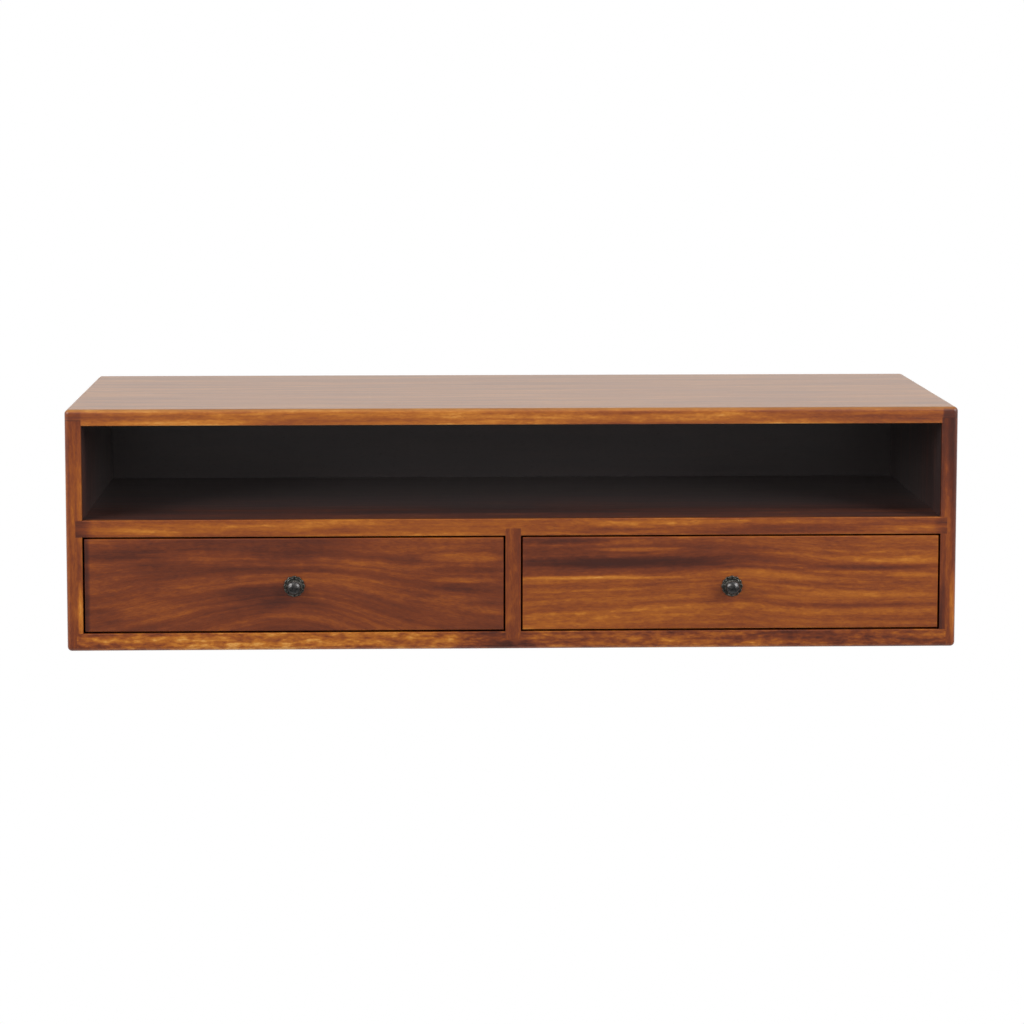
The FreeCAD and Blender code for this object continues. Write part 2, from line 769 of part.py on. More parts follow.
def drawer_side(drawer, side):
    sign = SIGNS[side]
    label = f"{drawer}_drawer_{side}_side"
    body = new_body(label)
    inner, outer = f"{sign} * drawer_inner_half", f"{sign} * drawer_half"
    bottom, top = "drawer_side_rise", "drawer_side_top"
    points = [("drawer_front_thickness", bottom), ("drawer_length", bottom)]
    points += [("drawer_length", top), ("drawer_front_thickness", top)]
    for index in reversed(range(TAILS)):
        points += tail_corners(index)
    sketch = outline(body, "board_outline", "YZ_Plane", points, level=inner)
    extrude(body, "Pad", sketch, "board", "drawer_side_thickness", sign)
    ply_groove = (inner, f"{sign} * (drawer_inner_half + ply_groove_depth)")
    ply_depth = ("ply_groove_front", "drawer_length")
    cut(body, "ply_groove", ply_groove, ply_depth, ("ply_bottom", "ply_groove_top"))
    back_housing = (inner, f"{sign} * (drawer_inner_half + drawer_back_housing)")
    back_depth = ("drawer_back_front", "drawer_back_rear")
    cut(body, "back_housing", back_housing, back_depth, ("ply_groove_top", top))
    runner_groove = (outer, f"{sign} * (drawer_half - runner_groove_depth)")
    half_height = "runner_height / 2 + runner_slide_clearance"
    groove_height = (f"runner_rise - ({half_height})", f"runner_rise + {half_height}")
    groove_depth = ("runner_groove_stop", "drawer_length")
    cut(body, "runner_groove", runner_groove, groove_depth, groove_height)
    return body


def drawer_back(drawer):
    label = drawer + "_drawer_back"
    body = new_body(label)
    width = ("-(drawer_inner_half + drawer_back_housing)", "drawer_inner_half + drawer_back_housing")
    depth = ("drawer_back_front", "drawer_back_rear")
    block(body, "board", width, depth, ("ply_groove_top", "drawer_side_top"))
    foot = ("-drawer_inner_half", "drawer_inner_half")
    block(body, "foot", foot, depth, ("ply_top", "ply_groove_top"))
    return bored(body, label, "pin", ply_pin_places())


def drawer_bottom(drawer):
    label = drawer + "_drawer_bottom"
    body = new_body(label)
    half = "drawer_inner_half + ply_groove_depth - ply_side_clearance"
    depth = ("ply_groove_front + ply_side_clearance", "drawer_length - ply_rear_inset")
    block(body, "sheet", (f"-({half})", half), depth, ("ply_bottom", "ply_top"))
    return bored(body, label, "pin", ply_pin_places())


def knob_rosette(drawer):
    """A scalloped rose plate, dished between its rim and the boss that the knob stands on."""
    label = drawer + "_knob_rosette"
    body = new_body(label + "_blank")
    points = [
        ("0", "0"),
        ("rosette_radius", "0"),
        ("rosette_radius", "rosette_rim_height"),
        ("rosette_radius - rosette_rim_height", "rosette_rim_height"),
        ("(rosette_radius + rosette_boss_radius) / 2", "rosette_rim_height / 2"),
        ("rosette_boss_radius", "rosette_rim_height / 2"),
        ("rosette_boss_radius", "rosette_boss_height"),
        ("0", "rosette_boss_height"),
    ]
    revolve(body, "plate", points)
    centre = ("rosette_radius + rosette_scallop_radius - rosette_scallop_depth", "0")
    radius = "rosette_scallop_radius"
    sketch = circles(body, "scallop_outline", "XY_Plane", [centre], radius)
    scallop = extrude(body, "Pocket", sketch, "scallop", "rosette_rim_height", 1)
    pattern = body.newObject("PartDesign::PolarPattern", "scallops")
    pattern.Originals = [scallop]
    pattern.Axis = (origin_feature(body, "Z_Axis"), [""])
    pattern.Angle = 360
    pattern.Occurrences = ROSETTE_SCALLOPS
    body.Tip = pattern
    bore_radius = "knob_screw_radius + fastener_clearance"
    bore = cylinder(label + "_bore", bore_radius, "rosette_boss_height", ("0", "0", "0"), (0, 0, 1))
    return subtract(label, body, bore)


def knob(drawer):
    """A small round knob, waisted behind its domed head."""
    label = drawer + "_knob"
    body = new_body(label + "_blank")
    points = [
        ("0", "rosette_boss_height"),
        ("knob_foot_radius", "rosette_boss_height"),
        ("knob_neck_radius", "rosette_boss_height + (knob_foot_radius - knob_neck_radius)"),
        ("knob_neck_radius", "knob_edge_bottom - knob_flare_height"),
        ("knob_radius", "knob_edge_bottom"),
        ("knob_radius", "knob_edge_top"),
        ("0", "knob_height"),
    ]
    revolve(body, "turning", points, {5: (("0", "knob_height - knob_dome_radius"), 1)})
    radius = "knob_screw_radius + fastener_clearance"
    length = "knob_screw_grip + fastener_clearance"
    bore = cylinder(label + "_bore", radius, length, ("0", "0", "0"), (0, 0, 1))
    return subtract(label, body, bore)


def knob_screw(drawer):
    """A machine screw from inside the drawer, through the washer, the front and the rosette."""
    label = drawer + "_knob_screw"
    seat = ("0", "0", "-knob_screw_seat")
    shank_length = "knob_screw_seat + knob_screw_grip"
    shank = cylinder(label + "_shank", "knob_screw_radius", shank_length, seat, (0, 0, 1))
    head_size = ("knob_screw_head_radius", "knob_screw_head_height")
    head = cylinder(label + "_head", *head_size, seat, (0, 0, -1))
    return fused(label, [shank, head])


def knob_washer(drawer):
    label = drawer + "_knob_washer"
    base = ("0", "0", "-knob_screw_seat")
    disc = cylinder(label + "_disc", "knob_washer_radius", "knob_washer_thickness", base, (0, 0, 1))
    radius = "knob_screw_radius + fastener_clearance"
    hole = cylinder(label + "_hole", radius, "knob_washer_thickness", base, (0, 0, 1))
    return subtract(label, disc, hole)


def drawer_unit(drawer):
    middle = f"{SIGNS[drawer]} * bay_middle"
    knob_x, knob_z = knob_centre(drawer)
    pieces = [drawer_front(drawer), drawer_back(drawer), drawer_bottom(drawer)]
    pieces += [drawer_side(drawer, side) for side in SIGNS]
    pieces.append(fasteners(drawer + "_drawer_bottom_pins", "pin", ply_pin_places()))
    for piece in pieces:
        keep(place(piece, middle, "drawer_face", "drawer_base"))
    for make in (knob_rosette, knob, knob_screw, knob_washer):
        piece = make(drawer)
        piece.Placement.Rotation = turned_to((0, -1, 0))
        keep(place(piece, f"{middle} + {knob_x}", "drawer_face", f"drawer_base + {knob_z}"))


# ------------------------------------------------------------------ document


def check():
    """Stop if any object has failed, or any sub-part has no sound shape."""
    for item in document.Objects:
        if {"Invalid", "Error"} & set(item.State):
            raise ValueError(f"{item.Label} failed: {item.State}")
    for label, item in nodes.items():
        if item.Shape.isNull() or not item.Shape.isValid() or not item.Shape.Solids:
            raise ValueError(f"{label} has no valid solid")


case()
for drawer_name in SIGNS:
    drawer_unit(drawer_name)
document.recompute()
check()

os.makedirs("parts", exist_ok=True)
for node_name, node in nodes.items():
    node.Shape.exportStep(f"parts/{node_name}.step")
print(f"{len(nodes)} sub-parts")
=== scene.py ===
import math

import bmesh
import bpy
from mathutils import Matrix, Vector, noise


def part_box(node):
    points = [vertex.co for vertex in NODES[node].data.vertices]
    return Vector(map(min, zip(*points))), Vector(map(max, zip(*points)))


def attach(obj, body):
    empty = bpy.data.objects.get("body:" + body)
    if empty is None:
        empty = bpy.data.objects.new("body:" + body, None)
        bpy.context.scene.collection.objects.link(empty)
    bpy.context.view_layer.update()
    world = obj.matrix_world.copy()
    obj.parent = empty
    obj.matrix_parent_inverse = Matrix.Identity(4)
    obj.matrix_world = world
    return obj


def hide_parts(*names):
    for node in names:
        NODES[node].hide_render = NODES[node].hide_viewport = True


# The looks of a wall-hung media console: stained and varnished wood, antique metal knobs and
# zinc-plated fixings, over a pale studio floor. Lengths are in metres. X runs to the right,
# Y from the front to the wall and Z up.

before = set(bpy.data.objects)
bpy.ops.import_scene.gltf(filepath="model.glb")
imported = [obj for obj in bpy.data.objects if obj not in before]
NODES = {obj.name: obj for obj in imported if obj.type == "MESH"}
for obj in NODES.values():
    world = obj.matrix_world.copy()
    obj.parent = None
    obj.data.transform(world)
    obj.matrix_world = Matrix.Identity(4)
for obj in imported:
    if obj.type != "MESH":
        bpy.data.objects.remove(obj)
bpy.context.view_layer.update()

SIDES = {"left": -1, "right": 1}
MM = 0.001

# the faces that bound the case's inside, and the case's front
CASE_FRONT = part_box("top_panel")[0].y
TOP_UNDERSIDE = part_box("top_panel")[0].z
BOTTOM_UPPER_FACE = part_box("bottom_panel")[1].z
INNER_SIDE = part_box("right_side_panel")[0].x
BACK_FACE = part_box("back_panel")[0].y


# ------------------------------------------------------------------ colours


def rgb(red, green, blue):
    """A display colour, each channel 0 to 255, as the linear colour that the shaders take."""

    def linear(channel):
        share = channel / 255
        return share / 12.92 if share <= 0.04045 else ((share + 0.055) / 1.055) ** 2.4

    return (linear(red), linear(green), linear(blue), 1.0)


WHITE = (1, 1, 1, 1)
FLOOR_PAINT = rgb(240, 240, 240)

# the stain's tones, from its darkest streaks to its brightest flashes
STAIN = [
    (0.0, rgb(66, 28, 17)),
    (0.2, rgb(88, 38, 20)),
    (0.4, rgb(118, 54, 23)),
    (0.55, rgb(143, 72, 24)),
    (0.7, rgb(168, 93, 26)),
    (0.85, rgb(193, 118, 38)),
    (1.0, rgb(217, 151, 72)),
]
# the lighter wood of the drawer boxes and runners, only oiled
OILED = [
    (0.0, rgb(84, 48, 26)),
    (0.4, rgb(132, 84, 46)),
    (0.7, rgb(168, 118, 70)),
    (1.0, rgb(204, 160, 108)),
]
# the plywood of the drawer bottoms and of the case's back
PLYWOOD = [
    (0.0, rgb(118, 74, 45)),
    (0.5, rgb(168, 118, 74)),
    (1.0, rgb(206, 160, 112)),
]
# painted shade on the case's inside: darker tones in place of its shade, and the paler grey that
# it is painted towards at the back
PAINTED_INNER_SHADE = [
    (0.0, rgb(49, 42, 43)),
    (0.4, rgb(71, 54, 52)),
    (0.7, rgb(100, 60, 50)),
    (1.0, rgb(136, 80, 56)),
]
INNER_SHADE_GREY = rgb(148, 140, 140)
# the grey beige that the top board's upper face is painted towards, a painted sheen
SHEEN_BEIGE = rgb(134, 104, 56)
PORE = rgb(40, 16, 12)

ZINC = [(0.3, rgb(150, 150, 148)), (0.7, rgb(198, 196, 190))]


# ------------------------------------------------------------------ shader graphs


class Graph:
    """Adds and links the nodes of one shader tree, which ends in its output node."""

    def __init__(self, tree, output):
        tree.nodes.clear()
        self.tree = tree
        self.output = self.add(output)

    def add(self, kind, inputs=None, **settings):
        """A node of a kind, with its settings and with values or sockets on its inputs."""
        node = self.tree.nodes.new("ShaderNode" + kind)
        for name, value in settings.items():
            setattr(node, name, value)
        for name, value in (inputs or {}).items():
            self.feed(node.inputs[name], value)
        return node

    def feed(self, socket, value):
        if isinstance(value, bpy.types.NodeSocket):
            self.tree.links.new(value, socket)
        else:
            socket.default_value = value

    def show(self, shader):
        """Send a shader to the output, in place of any other."""
        self.feed(self.output.inputs["Surface"], shader)

    def math(self, operation, first, second=0.0):
        return self.add("Math", {0: first, 1: second}, operation=operation).outputs[0]

    def plus(self, first, second):
        return self.math("ADD", first, second)

    def minus(self, first, second):
        return self.math("SUBTRACT", first, second)

    def times(self, first, second):
        return self.math("MULTIPLY", first, second)

    def larger(self, first, second):
        return self.math("MAXIMUM", first, second)

    def square(self, value):
        return self.times(value, value)

    def total(self, values):
        result = values[0]
        for value in values[1:]:
            result = self.plus(result, value)
        return result

    def scaled(self, vector, factors):
        inputs = {0: vector, 1: factors}
        return self.add("VectorMath", inputs, operation="MULTIPLY").outputs[0]

    def moved(self, vector, step):
        return self.add("VectorMath", {0: vector, 1: step}, operation="ADD").outputs[0]

    def combined(self, x, y, z):
        return self.add("CombineXYZ", {"X": x, "Y": y, "Z": z}).outputs[0]

    def split(self, vector):
        return self.add("SeparateXYZ", {0: vector}).outputs

    def noise(self, vector, detail=2.0, roughness=0.5):
        """Smooth noise from 0 to 1, a cell to each unit of the vector."""
        inputs = {"Vector": vector, "Scale": 1.0, "Detail": detail, "Roughness": roughness}
        return self.add("TexNoise", inputs).outputs["Fac"]

    def span(self, value, low, high, to_low=0.0, to_high=1.0, smooth=False):
        """A value between low and high, spread over to_low to to_high and held there."""
        inputs = {"Value": value, "From Min": low, "From Max": high}
        inputs.update({"To Min": to_low, "To Max": to_high})
        kind = "SMOOTHSTEP" if smooth else "LINEAR"
        return self.add("MapRange", inputs, interpolation_type=kind).outputs["Result"]

    def ramp(self, value, stops):
        """A colour ramp through pairs of a place from 0 to 1 and a colour."""
        node = self.add("ValToRGB", {"Fac": value})
        elements = node.color_ramp.elements
        for _ in stops[2:]:
            elements.new(0.5)
        for element, (place, colour) in zip(elements, stops):
            element.position = place
            element.color = colour
        return node.outputs["Color"]

    def mix(self, factor, first, second):
        """A colour between two others, the second where the factor is 1."""
        node = self.add("Mix", {"Factor": factor}, data_type="RGBA")
        self.feed(node.inputs["A"], first)
        self.feed(node.inputs["B"], second)
        return node.outputs["Result"]


def new_material(name):
    """A material with its graph and the shader that its surface shows."""
    material = bpy.data.materials.new(name)
    material.use_nodes = True
    graph = Graph(material.node_tree, "OutputMaterial")
    shader = graph.add("BsdfPrincipled")
    graph.show(shader.outputs["BSDF"])
    return material, graph, shader


def bump(graph, shader, height, distance, strength):
    node = graph.add("Bump", {"Height": height, "Distance": distance, "Strength": strength})
    graph.feed(shader.inputs["Normal"], node.outputs["Normal"])


# ------------------------------------------------------------------ grain

# for each grain direction: the axes along it, across the board's face and through it
GRAIN_AXES = {"x": ("X", "Z", "Y"), "z": ("Z", "X", "Y"), "y": ("Y", "Z", "X")}
# how many cells along, across and through the board each step of the seed moves the noise by
SEED_STEP = (7.31, 3.17, 5.53)

# the noise of the figure: its cells' length and width, and where they differ from the usual
# ones its detail and its roughness
BLOTCHES = (110 * MM, 60 * MM)
SWIRLS = (16 * MM, 6 * MM, 3.0, 0.6)
FLAMES = (20 * MM, 8 * MM, 2.0, 0.6)
STREAKS = (60 * MM, 3 * MM, 3.0, 0.6)
FIBRES = (7 * MM, 1.6 * MM, 2.0, 0.6)
PORES = (6 * MM, 0.5 * MM, 1.0)
STRAYING = (190 * MM, 80 * MM, 3.0)

# the share of its height that an arch keeps at the end of its reach
ARCH_REST = 0.1
# the largest squared part of a normal along an axis: where an arris begins and where it is full
ARRIS = (0.97, 0.85)
# the upward part of a normal: where a face begins to count as an upper one and where it fully does
UPWARD = (0.3, 0.9)

# the stretches over which the case's inside begins and ends: behind its front edges, and a
# little way into the boards round it
INDOORS_Y = (CASE_FRONT + 2 * MM, CASE_FRONT + 10 * MM)
OUTDOORS_Y = (BACK_FACE + 0.5 * MM, BACK_FACE + 1.5 * MM)
OUTDOORS_X = (INNER_SIDE + 3 * MM, INNER_SIDE + 5 * MM)
INDOORS_Z = (BOTTOM_UPPER_FACE - 12 * MM, BOTTOM_UPPER_FACE - 10 * MM)
OUTDOORS_Z = (TOP_UNDERSIDE + 2 * MM, TOP_UNDERSIDE + 4 * MM)


class Grain:
    """Noise fields that follow the grain of one board, and masks of its faces."""

    def __init__(self, graph, direction, seed):
        self.graph = graph
        coordinates = graph.add("TexCoord")
        self.place = graph.split(coordinates.outputs["Object"])
        axes = GRAIN_AXES[direction]
        self.along, self.across, self.deep = (self.place[axis] for axis in axes)
        self.straight = (self.along, self.across)
        self.offset = tuple(seed * step for step in SEED_STEP)
        self.facing = graph.split(graph.add("NewGeometry").outputs["Normal"])
        self.end_grain = graph.math("ABSOLUTE", self.facing[axes[0]])

    def field(self, length, width, detail=2.0, roughness=0.5):
        """Noise with cells of a length along the grain and a width across it."""
        graph = self.graph
        cell = graph.combined(
            graph.times(self.along, 1 / length),
            graph.times(self.across, 1 / width),
            graph.times(self.deep, 1 / width),
        )
        return graph.noise(graph.moved(cell, self.offset), detail, roughness)

    def swing(self, strength, *cells):
        """The same noise as a change of tone to either side."""
        return self.graph.times(self.graph.minus(self.field(*cells), 0.5), strength)

    def wander(self, reach):
        """Let the grain stray across the board."""
        self.across = self.graph.plus(self.across, self.swing(2 * reach, *STRAYING))

    def arch(self, middle, lengths, height, foot, reach):
        """Bow the grain up about a place along the board, less the higher above foot it lies.

        lengths are the distances over which the bow falls to half on either side.
        """
        graph = self.graph
        run = graph.minus(self.along, middle)
        before = graph.times(graph.math("MINIMUM", run, 0.0), 1 / lengths[0])
        after = graph.times(graph.larger(run, 0.0), 1 / lengths[1])
        spread = graph.total([1.0, graph.square(before), graph.square(after)])
        bell = graph.math("DIVIDE", 1.0, spread)
        fade = graph.span(self.across, foot, foot + reach, height, ARCH_REST * height)
        self.across = graph.minus(self.across, graph.times(bell, fade))

    def patch(self, middle, height, half_length, half_width, change, core=0.0):
        """A change of tone about a place on the front, which dies away outside its core."""
        graph = self.graph
        u = graph.times(graph.minus(self.straight[0], middle), 1 / half_length)
        v = graph.times(graph.minus(self.straight[1], height), 1 / half_width)
        distance = graph.plus(graph.square(u), graph.square(v))
        return graph.span(distance, core, 1.0, change, 0.0, smooth=True)

    def behind_front(self, depths, at_front, at_back):
        """One value up to a depth behind the case's front, and another from a second depth on."""
        near, far = (CASE_FRONT + depth for depth in depths)
        return self.graph.span(self.place["Y"], near, far, at_front, at_back)

    def on_top(self, elsewhere, above):
        """One value on the upper faces, and another elsewhere."""
        return self.graph.span(self.facing["Z"], *UPWARD, elsewhere, above)

    def arris(self):
        """1 on the rounded edges, where the surface faces none of the axes."""
        graph = self.graph
        squares = [graph.square(self.facing[axis]) for axis in "XYZ"]
        most = graph.larger(graph.larger(squares[0], squares[1]), squares[2])
        return graph.span(most, *ARRIS)

    def indoors(self):
        """1 on the faces inside the case, between its front edges and its back panel."""
        graph = self.graph
        span_out = graph.math("ABSOLUTE", self.place["X"])
        limits = [
            graph.span(self.place["Y"], *INDOORS_Y),
            graph.span(self.place["Y"], *OUTDOORS_Y, 1.0, 0.0),
            graph.span(span_out, *OUTDOORS_X, 1.0, 0.0),
            graph.span(self.place["Z"], *INDOORS_Z),
            graph.span(self.place["Z"], *OUTDOORS_Z, 1.0, 0.0),
        ]
        mask = limits[0]
        for limit in limits[1:]:
            mask = graph.times(mask, limit)
        return mask


# ------------------------------------------------------------------ wood

# strengths of the figure, as changes of tone
BLOTCH_TONE = 0.3
FIBRE_TONE = 0.3
END_GRAIN_TONE = -0.1
# rounded edges painted lighter: worn stain, and partly a painted highlight
ARRIS_WEAR_AND_HIGHLIGHT = 0.1
# the streaks' share of the bands' strength
STREAK_SHARE = 0.3

# the stretches of noise over which a flame shows, and over which a band is light enough for it
FLAME_EDGE = (0.48, 0.74)
LIGHT_BAND = (0.42, 0.62)
# and those over which a streak hardens and a pore opens
STREAK_EDGE = (0.3, 0.7)
PORE_EDGE = (0.68, 0.75)

# the depths behind the case's front over which the patches end, and the painted shade inside greys
PATCH_DEPTHS = (15 * MM, 45 * MM)
FADING_DEPTHS = (80 * MM, 280 * MM)

# the varnish: its roughness on soft and on hard streaks, its coat and its sheen
SOFT_ROUGHNESS = 0.4
HARD_ROUGHNESS = 0.3
COAT = 0.2
COAT_ROUGHNESS = 0.2
SHEEN_ROUGHNESS = 0.3
# how dark a pore is, the relief's depth and strength, and the streaks' share of it beside a pore's
PORE_SHADE = 0.4
RELIEF = (0.06 * MM, 0.6)
STREAK_RELIEF = 0.4

# the top board's upper face, calmer, painted lighter and greyer as a painted sheen, and dulled:
# what is left of its figure, how much lighter and how far towards its beige it is painted, and how
# much rougher it is
TOP_FIGURE = 0.7
TOP_SHEEN_LIFT = 0.1
TOP_SHEEN_TINT = 0.4
TOP_DULLING = 0.28
# its coat and its sheen at grazing angles, which the whole board has
TOP_COAT_ROUGHNESS = 0.6
TOP_SHEEN = 0.5


def figure(board, spread, band, band_length, shimmer, curl, wander, arch):
    """The bands, streaks, flames and blotches of a board as one tone, and its streaks alone."""
    graph = board.graph
    blotches = board.swing(BLOTCH_TONE, *BLOTCHES)
    swirls = board.swing(curl, *SWIRLS)
    flames = board.field(*FLAMES)
    board.wander(wander)
    if arch:
        board.arch(*arch)
    bands = board.field(band_length, band)
    streaks = board.field(*STREAKS)
    # a flame shows only where a band is light
    flash = graph.times(graph.span(flames, *FLAME_EDGE), graph.span(bands, *LIGHT_BAND))
    parts = [
        graph.times(graph.minus(bands, 0.5), spread),
        graph.times(graph.minus(streaks, 0.5), STREAK_SHARE * spread),
        board.swing(FIBRE_TONE, *FIBRES),
        blotches,
        swirls,
        graph.times(flash, shimmer),
    ]
    return graph.total(parts), streaks


def patchwork(board, patches):
    """The changes of tone that patches make about the front of a board."""
    changes = board.graph.total([0.0] + [board.patch(*patch) for patch in patches])
    return board.graph.times(changes, board.behind_front(PATCH_DEPTHS, 1.0, 0.0))


def paint_inner_shade(board, value, fading, stained):
    """A board's colour with painted shade on its faces inside the case, greying towards the back.
    """
    graph = board.graph
    depth = board.behind_front(FADING_DEPTHS, 0.0, fading)
    inner = graph.mix(depth, graph.ramp(value, PAINTED_INNER_SHADE), INNER_SHADE_GREY)
    return graph.mix(board.indoors(), stained, inner)


def varnish(board, shader, streaks, pores, sheened_top):
    """The gloss and the fine relief of a board."""
    graph = board.graph
    roughness = graph.span(streaks, *STREAK_EDGE, SOFT_ROUGHNESS, HARD_ROUGHNESS)
    if sheened_top:
        roughness = graph.plus(roughness, board.on_top(0.0, TOP_DULLING))
    graph.feed(shader.inputs["Roughness"], roughness)
    shader.inputs["Coat Weight"].default_value = COAT
    shader.inputs["Coat Roughness"].default_value = TOP_COAT_ROUGHNESS if sheened_top else COAT_ROUGHNESS
    shader.inputs["Sheen Weight"].default_value = TOP_SHEEN if sheened_top else 0.0
    shader.inputs["Sheen Roughness"].default_value = SHEEN_ROUGHNESS
    height = graph.minus(graph.times(streaks, STREAK_RELIEF), pores)
    bump(graph, shader, height, *RELIEF)


def wood(name, grain, seed, tone, spread=1.0, band=14 * MM, band_length=260 * MM, shimmer=0.16,
         curl=0.2, wander=7 * MM, arch=None, patches=(), inside=None, sheened_top=False, stain=STAIN):
    """Stained and varnished wood.

    tone is the mean place on the stain's scale, and spread scales how far the growth bands and
    streaks depart from it. band and band_length are the bands' width and length. shimmer and
    curl are the strengths of the figure across the grain and of the swirls. wander is how far
    the grain strays, and arch and patches are what Grain.arch and Grain.patch take.
    inside is how far the painted shade inside the case greys towards the back, on a board that has
    it.
    The top board's flag calms the figure of its upper face, paints it lighter and greyer as a
    painted sheen and dulls it.
    """
    material, graph, shader = new_material(name)
    board = Grain(graph, grain, seed)
    value, streaks = figure(board, spread, band, band_length, shimmer, curl, wander, arch)
    patched = patchwork(board, patches)
    if sheened_top:
        value = graph.times(value, board.on_top(1.0, TOP_FIGURE))
        patched = graph.times(patched, board.on_top(1.0, 0.0))
        # painted sheen: the upper face is painted lighter
        value = graph.plus(value, board.on_top(0.0, TOP_SHEEN_LIFT))
    ends = graph.times(board.end_grain, END_GRAIN_TONE)
    # rounded edges painted lighter: worn stain, and partly a painted highlight
    edges = graph.times(board.arris(), ARRIS_WEAR_AND_HIGHLIGHT)
    value = graph.total([value, patched, ends, edges, tone])
    stained = graph.ramp(value, stain)
    # painted sheen: the top board's upper face is painted towards a grey beige
    if sheened_top:
        stained = graph.mix(board.on_top(0.0, TOP_SHEEN_TINT), stained, SHEEN_BEIGE)
    # painted shade on the faces inside the case
    if inside is not None:
        stained = paint_inner_shade(board, value, inside, stained)
    pores = graph.span(board.field(*PORES), *PORE_EDGE)
    colour = graph.mix(graph.times(pores, PORE_SHADE), stained, PORE)
    graph.feed(shader.inputs["Base Color"], colour)
    varnish(board, shader, streaks, pores, sheened_top)
    return material


# ------------------------------------------------------------------ metal

# the noise of the metals: its cells to a metre along each axis, and where they differ from the
# usual ones its detail and its roughness
CLOUDS = ((260, 260, 260), 3.0)
BRUSH_MARKS = ((4000, 300, 300),)
PATINA = ((420, 420, 420), 4.0, 0.6)
GRIT = ((1500, 1500, 1500), 3.0, 0.6)
# the stretch of a noise field over which the gloss changes
GLOSS_EDGE = (0.3, 0.7)

ZINC_ROUGHNESS = (0.28, 0.45)
ZINC_RELIEF = (0.02 * MM, 0.4)

CAST_METALLIC = 0.9
CAST_RELIEF = (0.04 * MM, 0.35)
# how much smoother than its own roughness a metal is in its dark patina, and rougher in its light
CAST_GLOSS = (-0.05, 0.1)
# the places on the patina's noise where it is darkest and where it is lightest
PATINA_TONES = (0.35, 0.65)
# how convex a place is where the rubbing begins and where it is full, how grit breaks it up and
# how much of it is left where there is no grit
RUBBED_RIDGE = (0.54, 0.66)
RUBBED_GRIT = (0.35, 0.6)
RUBBED_LEAST = 0.2


def clouded(graph, place, cells, *detail):
    """Noise with a number of cells to a metre along each axis."""
    return graph.noise(graph.scaled(place, cells), *detail)


def zinc():
    """Bright plated steel, faintly clouded."""
    material, graph, shader = new_material("zinc_plate")
    place = graph.add("TexCoord").outputs["Object"]
    brushed = clouded(graph, place, *BRUSH_MARKS)
    graph.feed(shader.inputs["Base Color"], graph.ramp(clouded(graph, place, *CLOUDS), ZINC))
    roughness = graph.span(brushed, *GLOSS_EDGE, *ZINC_ROUGHNESS)
    graph.feed(shader.inputs["Roughness"], roughness)
    shader.inputs["Metallic"].default_value = 1.0
    bump(graph, shader, brushed, *ZINC_RELIEF)
    return material


def antique_metal(name, light, dark, worn, rough):
    """Blackened metal with a cloudy patina, rubbed bright on its high points."""
    material, graph, shader = new_material(name)
    place = graph.add("TexCoord").outputs["Object"]
    patina = clouded(graph, place, *PATINA)
    grit = clouded(graph, place, *GRIT)
    base = graph.ramp(patina, list(zip(PATINA_TONES, (dark, light))))
    ridge = graph.span(graph.add("NewGeometry").outputs["Pointiness"], *RUBBED_RIDGE)
    rubbed = graph.times(ridge, graph.span(grit, *RUBBED_GRIT, RUBBED_LEAST, 1.0))
    graph.feed(shader.inputs["Base Color"], graph.mix(rubbed, base, worn))
    roughness = graph.span(patina, *GLOSS_EDGE, *(rough + change for change in CAST_GLOSS))
    graph.feed(shader.inputs["Roughness"], roughness)
    shader.inputs["Metallic"].default_value = CAST_METALLIC
    bump(graph, shader, graph.plus(patina, grit), *CAST_RELIEF)
    return material


def rosette_metal():
    light, dark, worn = rgb(106, 103, 97), rgb(46, 46, 43), rgb(166, 148, 128)
    return antique_metal("rosette_metal", light, dark, worn, 0.34)


def knob_metal():
    light, dark, worn = rgb(95, 92, 90), rgb(57, 57, 58), rgb(118, 113, 108)
    return antique_metal("knob_metal", light, dark, worn, 0.27)


# ------------------------------------------------------------------ knobs

# points round each ring of a turned piece
TURNS = 144

# the rosette's section, from the hole in its middle over the rim to the back: each point's
# radius and its height over the drawer's front, in millimetres
ROSETTE_SECTION = [
    (2.4, 3.9), (4.6, 3.9), (5.2, 3.7), (5.5, 3.2), (5.7, 2.2), (6.0, 1.5), (6.5, 1.1),
    (7.2, 0.95), (8.0, 1.0), (8.8, 1.15), (9.5, 1.4), (10.0, 1.6), (10.4, 1.5), (10.7, 1.3),
    (11.1, 1.45), (11.6, 1.8), (12.1, 1.98), (12.6, 1.9), (13.0, 1.5), (13.25, 0.9), (13.3, 0.2),
    (13.2, 0.0), (2.4, 0.0),
]
# the radii between which the dish is fluted, and those between which the rim has petals
DISH = (6.5, 9.5)
RIM = (10.7, 13.3)
FLUTES = 36
FLUTE_HEIGHT = 0.22
PETALS = 12
# how square a petal is, how far the rim draws in between petals, how far it sinks there, and
# the least height of a point that sinks
PETAL_POWER = 0.8
PETAL_INSET = 1.0
PETAL_SINK = 0.7
SINKING_HEIGHT = 0.5

# the knob's section, from the middle of its dome round the edge and down the neck to its foot,
# in the same way
KNOB_SECTION = [
    (0.3, 16.48), (1.5, 16.38), (3.0, 16.08), (4.5, 15.56), (5.8, 14.9), (6.8, 14.22),
    (7.5, 13.6), (7.95, 13.0), (8.2, 12.3), (8.2, 11.6), (7.95, 11.0), (7.4, 10.4), (6.5, 9.6),
    (5.5, 8.7), (4.6, 7.7), (4.05, 6.8), (3.85, 6.0), (3.9, 5.4), (4.2, 4.9), (4.8, 4.3),
    (5.0, 4.0), (2.4, 4.0),
]
# the steps that its smooth curve takes from each point to the next
SECTION_STEPS = 4
# the casting's unevenness: lumps to a millimetre, and how far they change a radius, as a share
# of it, and a height
LUMPS = 0.35
LUMP_SWELL = 0.008
LUMP_SINK = 0.1


